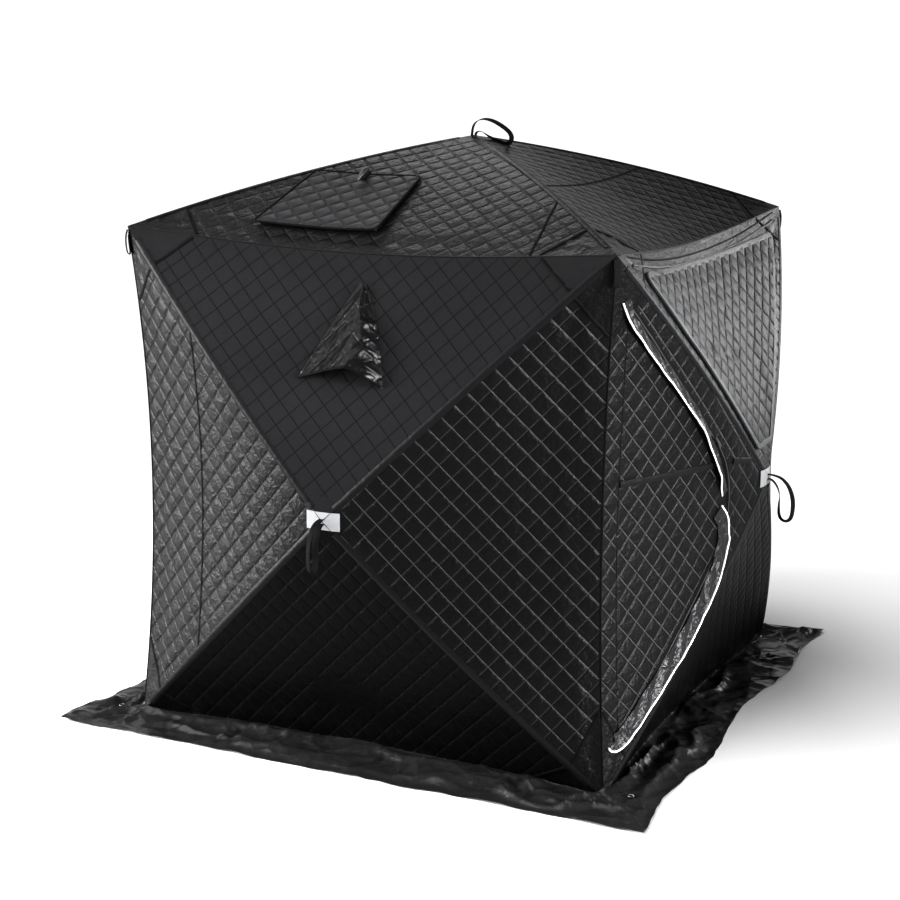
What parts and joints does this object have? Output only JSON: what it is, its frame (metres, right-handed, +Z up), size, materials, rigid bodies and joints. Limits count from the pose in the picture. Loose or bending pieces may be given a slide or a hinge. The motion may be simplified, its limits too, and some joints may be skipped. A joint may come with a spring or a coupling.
{
  "type": "ice fishing shelter",
  "caption": "Square pop-up hub shelter for ice fishing: quilted walls and roof pushed out by hubs and poles, with a door, a window cover, vents and a snow skirt.",
  "frame": {"origin": "on the floor, under the middle of the roof", "axes": "+Z up; the front wall faces -Y; the wall with the door faces +X"},
  "size_m": [2.4706, 2.4706, 2.1061],
  "materials": {
    "quilted_wall": "satin",
    "quilted_roof": "satin",
    "cover_fabric": "satin",
    "hood_fabric": "satin",
    "skirt_fabric": "satin",
    "webbing": "matte",
    "reflective_tape": "satin",
    "pole_glass_fibre": "satin",
    "hub_plastic": "satin",
    "window_vinyl": "gloss",
    "zip_metal": "satin"
  },
  "bodies": {
    "root": {"snow_skirt": "skirt_fabric", "corner_sockets": "hub_plastic"},
    "front_hub": {"front_hub": "hub_plastic", "front_pull_strap": "webbing"},
    "front_pole_bottom_left": {"front_pole_bottom_left": "pole_glass_fibre"},
    "front_pole_bottom_right": {"front_pole_bottom_right": "pole_glass_fibre"},
    "front_pole_top_right": {"front_pole_top_right": "pole_glass_fibre"},
    "front_pole_top_left": {"front_pole_top_left": "pole_glass_fibre"},
    "front_panel_bottom": {"front_panel_bottom": "quilted_wall"},
    "front_panel_right": {"front_panel_right": "quilted_wall"},
    "front_panel_top": {"front_panel_top": "quilted_wall", "front_vent_hood": "hood_fabric"},
    "front_panel_left": {"front_panel_left": "quilted_wall"},
    "right_hub": {"right_hub": "hub_plastic", "right_pull_strap": "webbing"},
    "right_pole_bottom_front": {"right_pole_bottom_front": "pole_glass_fibre"},
    "right_pole_bottom_back": {"right_pole_bottom_back": "pole_glass_fibre"},
    "right_pole_top_back": {"right_pole_top_back": "pole_glass_fibre"},
    "right_pole_top_front": {"right_pole_top_front": "pole_glass_fibre"},
    "right_panel_bottom": {"right_panel_bottom": "quilted_wall"},
    "right_panel_back": {"right_panel_back": "quilted_wall"},
    "right_panel_top": {"right_panel_top": "quilted_wall", "window_pane": "window_vinyl"},
    "right_panel_front": {"right_panel_front": "quilted_wall"},
    "back_hub": {"back_hub": "hub_plastic", "back_pull_strap": "webbing"},
    "back_pole_bottom_right": {"back_pole_bottom_right": "pole_glass_fibre"},
    "back_pole_bottom_left": {"back_pole_bottom_left": "pole_glass_fibre"},
    "back_pole_top_left": {"back_pole_top_left": "pole_glass_fibre"},
    "back_pole_top_right": {"back_pole_top_right": "pole_glass_fibre"},
    "back_panel_bottom": {"back_panel_bottom": "quilted_wall"},
    "back_panel_left": {"back_panel_left": "quilted_wall"},
    "back_panel_top": {"back_panel_top": "quilted_wall"},
    "back_panel_right": {"back_panel_right": "quilted_wall"},
    "left_hub": {"left_hub": "hub_plastic", "left_pull_strap": "webbing"},
    "left_pole_bottom_back": {"left_pole_bottom_back": "pole_glass_fibre"},
    "left_pole_bottom_front": {"left_pole_bottom_front": "pole_glass_fibre"},
    "left_pole_top_front": {"left_pole_top_front": "pole_glass_fibre"},
    "left_pole_top_back": {"left_pole_top_back": "pole_glass_fibre"},
    "left_panel_bottom": {"left_panel_bottom": "quilted_wall"},
    "left_panel_front": {"left_panel_front": "quilted_wall"},
    "left_panel_top": {"left_panel_top": "quilted_wall"},
    "left_panel_back": {"left_panel_back": "quilted_wall"},
    "roof_hub": {"roof_hub": "hub_plastic", "roof_pull_strap": "webbing"},
    "roof_pole_front_left": {"roof_pole_front_left": "pole_glass_fibre"},
    "roof_pole_front_right": {"roof_pole_front_right": "pole_glass_fibre"},
    "roof_pole_back_right": {"roof_pole_back_right": "pole_glass_fibre"},
    "roof_pole_back_left": {"roof_pole_back_left": "pole_glass_fibre"},
    "roof_panel_front": {"roof_panel_front": "quilted_roof"},
    "roof_panel_right": {"roof_panel_right": "quilted_roof"},
    "roof_panel_back": {"roof_panel_back": "quilted_roof"},
    "roof_panel_left": {"roof_panel_left": "quilted_roof"},
    "door": {"door": "quilted_wall"},
    "zip_slider_upper": {"zip_slider_upper": "zip_metal"},
    "zip_slider_lower": {"zip_slider_lower": "zip_metal"},
    "window_cover": {"window_cover": "cover_fabric"},
    "roof_vent_flap": {"roof_vent_flap": "quilted_roof"},
    "front_vent_stay": {"front_vent_stay": "hub_plastic"}
  },
  "joints": [
    {"name": "front_hub_push", "type": "slide", "parent": "root", "child": "front_hub", "axis": [0, 1, 0], "range_m": [0, 0.5]},
    {"name": "front_pole_bottom_left_swing", "type": "hinge", "parent": "front_hub", "child": "front_pole_bottom_left", "pos_m": [-0.0242, -1.116, 0.85412], "axis": [-0.7023, 0, 0.7119], "range_deg": [-0.5, 23.73]},
    {"name": "front_pole_bottom_right_swing", "type": "hinge", "parent": "front_hub", "child": "front_pole_bottom_right", "pos_m": [0.0242, -1.116, 0.85412], "axis": [-0.7023, 0, -0.7119], "range_deg": [-0.5, 23.73]},
    {"name": "front_pole_top_right_swing", "type": "hinge", "parent": "front_hub", "child": "front_pole_top_right", "pos_m": [0.0242, -1.116, 0.90188], "axis": [0.7023, 0, -0.7119], "range_deg": [-0.5, 23.73]},
    {"name": "front_pole_top_left_swing", "type": "hinge", "parent": "front_hub", "child": "front_pole_top_left", "pos_m": [-0.0242, -1.116, 0.90188], "axis": [0.7023, 0, 0.7119], "range_deg": [-0.5, 23.73]},
    {"name": "front_panel_bottom_fold", "type": "hinge", "parent": "root", "child": "front_panel_bottom", "pos_m": [0, -0.89, 0], "axis": [-1, 0, 0], "range_deg": [-0.5, 32.29]},
    {"name": "front_panel_right_fold", "type": "hinge", "parent": "root", "child": "front_panel_right", "pos_m": [0.89, -0.89, 0.878], "axis": [0, 0, -1], "range_deg": [-0.5, 31.88]},
    {"name": "front_panel_top_fold", "type": "hinge", "parent": "root", "child": "front_panel_top", "pos_m": [0, -0.89, 1.756], "axis": [1, 0, 0], "range_deg": [-0.5, 32.29]},
    {"name": "front_panel_left_fold", "type": "hinge", "parent": "root", "child": "front_panel_left", "pos_m": [-0.89, -0.89, 0.878], "axis": [0, 0, 1], "range_deg": [-0.5, 31.88]},
    {"name": "right_hub_push", "type": "slide", "parent": "root", "child": "right_hub", "axis": [-1, 0, 0], "range_m": [0, 0.5]},
    {"name": "right_pole_bottom_front_swing", "type": "hinge", "parent": "right_hub", "child": "right_pole_bottom_front", "pos_m": [1.116, -0.02384, 0.88076], "axis": [0, -0.713, 0.7012], "range_deg": [-0.5, 23.38]},
    {"name": "right_pole_bottom_back_swing", "type": "hinge", "parent": "right_hub", "child": "right_pole_bottom_back", "pos_m": [1.116, 0.02384, 0.88076], "axis": [0, -0.713, -0.7012], "range_deg": [-0.5, 23.38]},
    {"name": "right_pole_top_back_swing", "type": "hinge", "parent": "right_hub", "child": "right_pole_top_back", "pos_m": [1.116, 0.02457, 0.9285], "axis": [0, 0.6911, -0.7228], "range_deg": [-0.5, 24.09]},
    {"name": "right_pole_top_front_swing", "type": "hinge", "parent": "right_hub", "child": "right_pole_top_front", "pos_m": [1.116, -0.02457, 0.9285], "axis": [0, 0.6911, 0.7228], "range_deg": [-0.5, 24.09]},
    {"name": "right_panel_bottom_fold", "type": "hinge", "parent": "root", "child": "right_panel_bottom", "pos_m": [0.89, 0, 0], "axis": [0, -1, 0], "range_deg": [-0.5, 31.39]},
    {"name": "right_panel_back_fold", "type": "hinge", "parent": "root", "child": "right_panel_back", "pos_m": [0.89, 0.89, 0.878], "axis": [0, 0, -1], "range_deg": [-0.5, 31.88]},
    {"name": "right_panel_top_fold", "type": "hinge", "parent": "root", "child": "right_panel_top", "pos_m": [0.89, 0, 1.756], "axis": [0, 1, 0], "range_deg": [-0.5, 33.24]},
    {"name": "right_panel_front_fold", "type": "hinge", "parent": "root", "child": "right_panel_front", "pos_m": [0.89, -0.89, 0.878], "axis": [0, 0, 1], "range_deg": [-0.5, 31.88]},
    {"name": "back_hub_push", "type": "slide", "parent": "root", "child": "back_hub", "axis": [0, -1, 0], "range_m": [0, 0.5]},
    {"name": "back_pole_bottom_right_swing", "type": "hinge", "parent": "back_hub", "child": "back_pole_bottom_right", "pos_m": [0.02404, 1.116, 0.86596], "axis": [0.7071, 0, 0.7071], "range_deg": [-0.5, 23.58]},
    {"name": "back_pole_bottom_left_swing", "type": "hinge", "parent": "back_hub", "child": "back_pole_bottom_left", "pos_m": [-0.02404, 1.116, 0.86596], "axis": [0.7071, 0, -0.7071], "range_deg": [-0.5, 23.58]},
    {"name": "back_pole_top_left_swing", "type": "hinge", "parent": "back_hub", "child": "back_pole_top_left", "pos_m": [-0.02437, 1.116, 0.91371], "axis": [-0.6974, 0, -0.7167], "range_deg": [-0.5, 23.89]},
    {"name": "back_pole_top_right_swing", "type": "hinge", "parent": "back_hub", "child": "back_pole_top_right", "pos_m": [0.02437, 1.116, 0.91371], "axis": [-0.6974, 0, 0.7167], "range_deg": [-0.5, 23.89]},
    {"name": "back_panel_bottom_fold", "type": "hinge", "parent": "root", "child": "back_panel_bottom", "pos_m": [0, 0.89, 0], "axis": [1, 0, 0], "range_deg": [-0.5, 31.88]},
    {"name": "back_panel_left_fold", "type": "hinge", "parent": "root", "child": "back_panel_left", "pos_m": [-0.89, 0.89, 0.878], "axis": [0, 0, -1], "range_deg": [-0.5, 31.88]},
    {"name": "back_panel_top_fold", "type": "hinge", "parent": "root", "child": "back_panel_top", "pos_m": [0, 0.89, 1.756], "axis": [-1, 0, 0], "range_deg": [-0.5, 32.7]},
    {"name": "back_panel_right_fold", "type": "hinge", "parent": "root", "child": "back_panel_right", "pos_m": [0.89, 0.89, 0.878], "axis": [0, 0, 1], "range_deg": [-0.5, 31.88]},
    {"name": "left_hub_push", "type": "slide", "parent": "root", "child": "left_hub", "axis": [1, 0, 0], "range_m": [0, 0.5]},
    {"name": "left_pole_bottom_back_swing", "type": "hinge", "parent": "left_hub", "child": "left_pole_bottom_back", "pos_m": [-1.116, 0.02411, 0.86103], "axis": [0, 0.7051, 0.7091], "range_deg": [-0.5, 23.64]},
    {"name": "left_pole_bottom_front_swing", "type": "hinge", "parent": "left_hub", "child": "left_pole_bottom_front", "pos_m": [-1.116, -0.02411, 0.86103], "axis": [0, 0.7051, -0.7091], "range_deg": [-0.5, 23.64]},
    {"name": "left_pole_top_front_swing", "type": "hinge", "parent": "left_hub", "child": "left_pole_top_front", "pos_m": [-1.116, -0.0243, 0.90878], "axis": [0, -0.6994, -0.7147], "range_deg": [-0.5, 23.82]},
    {"name": "left_pole_top_back_swing", "type": "hinge", "parent": "left_hub", "child": "left_pole_top_back", "pos_m": [-1.116, 0.0243, 0.90878], "axis": [0, -0.6994, 0.7147], "range_deg": [-0.5, 23.82]},
    {"name": "left_panel_bottom_fold", "type": "hinge", "parent": "root", "child": "left_panel_bottom", "pos_m": [-0.89, 0, 0], "axis": [0, 1, 0], "range_deg": [-0.5, 32.05]},
    {"name": "left_panel_front_fold", "type": "hinge", "parent": "root", "child": "left_panel_front", "pos_m": [-0.89, -0.89, 0.878], "axis": [0, 0, -1], "range_deg": [-0.5, 31.88]},
    {"name": "left_panel_top_fold", "type": "hinge", "parent": "root", "child": "left_panel_top", "pos_m": [-0.89, 0, 1.756], "axis": [0, -1, 0], "range_deg": [-0.5, 32.53]},
    {"name": "left_panel_back_fold", "type": "hinge", "parent": "root", "child": "left_panel_back", "pos_m": [-0.89, 0.89, 0.878], "axis": [0, 0, 1], "range_deg": [-0.5, 31.88]},
    {"name": "roof_hub_push", "type": "slide", "parent": "root", "child": "roof_hub", "axis": [0, 0, -1], "range_m": [0, 0.582], "deforming": ["roof_pull_strap"]},
    {"name": "roof_pole_front_left_swing", "type": "hinge", "parent": "roof_hub", "child": "roof_pole_front_left", "pos_m": [-0.02404, -0.02404, 2.023], "axis": [-0.7071, 0.7071, 0], "range_deg": [-0.5, 27.23]},
    {"name": "roof_pole_front_right_swing", "type": "hinge", "parent": "roof_hub", "child": "roof_pole_front_right", "pos_m": [0.02404, -0.02404, 2.023], "axis": [-0.7071, -0.7071, 0], "range_deg": [-0.5, 27.23]},
    {"name": "roof_pole_back_right_swing", "type": "hinge", "parent": "roof_hub", "child": "roof_pole_back_right", "pos_m": [0.02404, 0.02404, 2.023], "axis": [0.7071, -0.7071, 0], "range_deg": [-0.5, 27.23]},
    {"name": "roof_pole_back_left_swing", "type": "hinge", "parent": "roof_hub", "child": "roof_pole_back_left", "pos_m": [-0.02404, 0.02404, 2.023], "axis": [0.7071, 0.7071, 0], "range_deg": [-0.5, 27.23]},
    {"name": "roof_panel_front_fold", "type": "hinge", "parent": "root", "child": "roof_panel_front", "pos_m": [0, -0.89, 1.756], "axis": [-1, 0, 0], "range_deg": [-0.5, 36.71]},
    {"name": "roof_panel_right_fold", "type": "hinge", "parent": "root", "child": "roof_panel_right", "pos_m": [0.89, 0, 1.756], "axis": [0, -1, 0], "range_deg": [-0.5, 36.71]},
    {"name": "roof_panel_back_fold", "type": "hinge", "parent": "root", "child": "roof_panel_back", "pos_m": [0, 0.89, 1.756], "axis": [1, 0, 0], "range_deg": [-0.5, 36.71]},
    {"name": "roof_panel_left_fold", "type": "hinge", "parent": "root", "child": "roof_panel_left", "pos_m": [-0.89, 0, 1.756], "axis": [0, 1, 0], "range_deg": [-0.5, 36.71]},
    {"name": "door_swing", "type": "hinge", "parent": "right_panel_front", "child": "door", "pos_m": [0.89, -0.89, 0.878], "axis": [0, 0, -1], "range_deg": [0, 110]},
    {"name": "zip_slider_upper_run", "type": "slide", "parent": "right_panel_front", "child": "zip_slider_upper", "axis": [-0.1872, -0.6665, 0.7216], "range_m": [0, 0.66]},
    {"name": "zip_slider_lower_run", "type": "slide", "parent": "right_panel_front", "child": "zip_slider_lower", "axis": [-0.1872, -0.6665, -0.7216], "range_m": [0, 0.66]},
    {"name": "window_cover_lift", "type": "hinge", "parent": "right_panel_top", "child": "window_cover", "pos_m": [0.91452, 0, 1.68816], "axis": [0, -1, 0], "range_deg": [0, 125]},
    {"name": "roof_vent_flap_lift", "type": "hinge", "parent": "roof_panel_front", "child": "roof_vent_flap", "pos_m": [-0.185, -0.42563, 1.91246], "axis": [-1, 0, 0], "range_deg": [0, 150]},
    {"name": "front_vent_stay_fold", "type": "hinge", "parent": "front_panel_top", "child": "front_vent_stay", "pos_m": [0, -1.00168, 1.38022], "axis": [1, 0, 0], "range_deg": [0, 85]}
  ],
  "couplings": [
    {"joint": "front_pole_bottom_left_swing", "follows": "front_hub_push", "rad_per_m": 0.81094},
    {"joint": "front_pole_bottom_right_swing", "follows": "front_hub_push", "rad_per_m": 0.81094},
    {"joint": "front_pole_top_right_swing", "follows": "front_hub_push", "rad_per_m": 0.81094},
    {"joint": "front_pole_top_left_swing", "follows": "front_hub_push", "rad_per_m": 0.81094},
    {"joint": "front_panel_bottom_fold", "follows": "front_hub_push", "rad_per_m": 1.1096},
    {"joint": "front_panel_right_fold", "follows": "front_hub_push", "rad_per_m": 1.0954},
    {"joint": "front_panel_top_fold", "follows": "front_hub_push", "rad_per_m": 1.1096},
    {"joint": "front_panel_left_fold", "follows": "front_hub_push", "rad_per_m": 1.0954},
    {"joint": "right_pole_bottom_front_swing", "follows": "right_hub_push", "rad_per_m": 0.79873},
    {"joint": "right_pole_bottom_back_swing", "follows": "right_hub_push", "rad_per_m": 0.79873},
    {"joint": "right_pole_top_back_swing", "follows": "right_hub_push", "rad_per_m": 0.82333},
    {"joint": "right_pole_top_front_swing", "follows": "right_hub_push", "rad_per_m": 0.82333},
    {"joint": "right_panel_bottom_fold", "follows": "right_hub_push", "rad_per_m": 1.0781},
    {"joint": "right_panel_back_fold", "follows": "right_hub_push", "rad_per_m": 1.0954},
    {"joint": "right_panel_top_fold", "follows": "right_hub_push", "rad_per_m": 1.1429},
    {"joint": "right_panel_front_fold", "follows": "right_hub_push", "rad_per_m": 1.0954},
    {"joint": "back_pole_bottom_right_swing", "follows": "back_hub_push", "rad_per_m": 0.80549},
    {"joint": "back_pole_bottom_left_swing", "follows": "back_hub_push", "rad_per_m": 0.80549},
    {"joint": "back_pole_top_left_swing", "follows": "back_hub_push", "rad_per_m": 0.81642},
    {"joint": "back_pole_top_right_swing", "follows": "back_hub_push", "rad_per_m": 0.81642},
    {"joint": "back_panel_bottom_fold", "follows": "back_hub_push", "rad_per_m": 1.0954},
    {"joint": "back_panel_left_fold", "follows": "back_hub_push", "rad_per_m": 1.0954},
    {"joint": "back_panel_top_fold", "follows": "back_hub_push", "rad_per_m": 1.1242},
    {"joint": "back_panel_right_fold", "follows": "back_hub_push", "rad_per_m": 1.0954},
    {"joint": "left_pole_bottom_back_swing", "follows": "left_hub_push", "rad_per_m": 0.80776},
    {"joint": "left_pole_bottom_front_swing", "follows": "left_hub_push", "rad_per_m": 0.80776},
    {"joint": "left_pole_top_front_swing", "follows": "left_hub_push", "rad_per_m": 0.81414},
    {"joint": "left_pole_top_back_swing", "follows": "left_hub_push", "rad_per_m": 0.81414},
    {"joint": "left_panel_bottom_fold", "follows": "left_hub_push", "rad_per_m": 1.1012},
    {"joint": "left_panel_front_fold", "follows": "left_hub_push", "rad_per_m": 1.0954},
    {"joint": "left_panel_top_fold", "follows": "left_hub_push", "rad_per_m": 1.118},
    {"joint": "left_panel_back_fold", "follows": "left_hub_push", "rad_per_m": 1.0954},
    {"joint": "roof_pole_front_left_swing", "follows": "roof_hub_push", "rad_per_m": 0.80169},
    {"joint": "roof_pole_front_right_swing", "follows": "roof_hub_push", "rad_per_m": 0.80169},
    {"joint": "roof_pole_back_right_swing", "follows": "roof_hub_push", "rad_per_m": 0.80169},
    {"joint": "roof_pole_back_left_swing", "follows": "roof_hub_push", "rad_per_m": 0.80169},
    {"joint": "roof_panel_front_fold", "follows": "roof_hub_push", "rad_per_m": 1.0859},
    {"joint": "roof_panel_right_fold", "follows": "roof_hub_push", "rad_per_m": 1.0859},
    {"joint": "roof_panel_back_fold", "follows": "roof_hub_push", "rad_per_m": 1.0859},
    {"joint": "roof_panel_left_fold", "follows": "roof_hub_push", "rad_per_m": 1.0859}
  ]
}
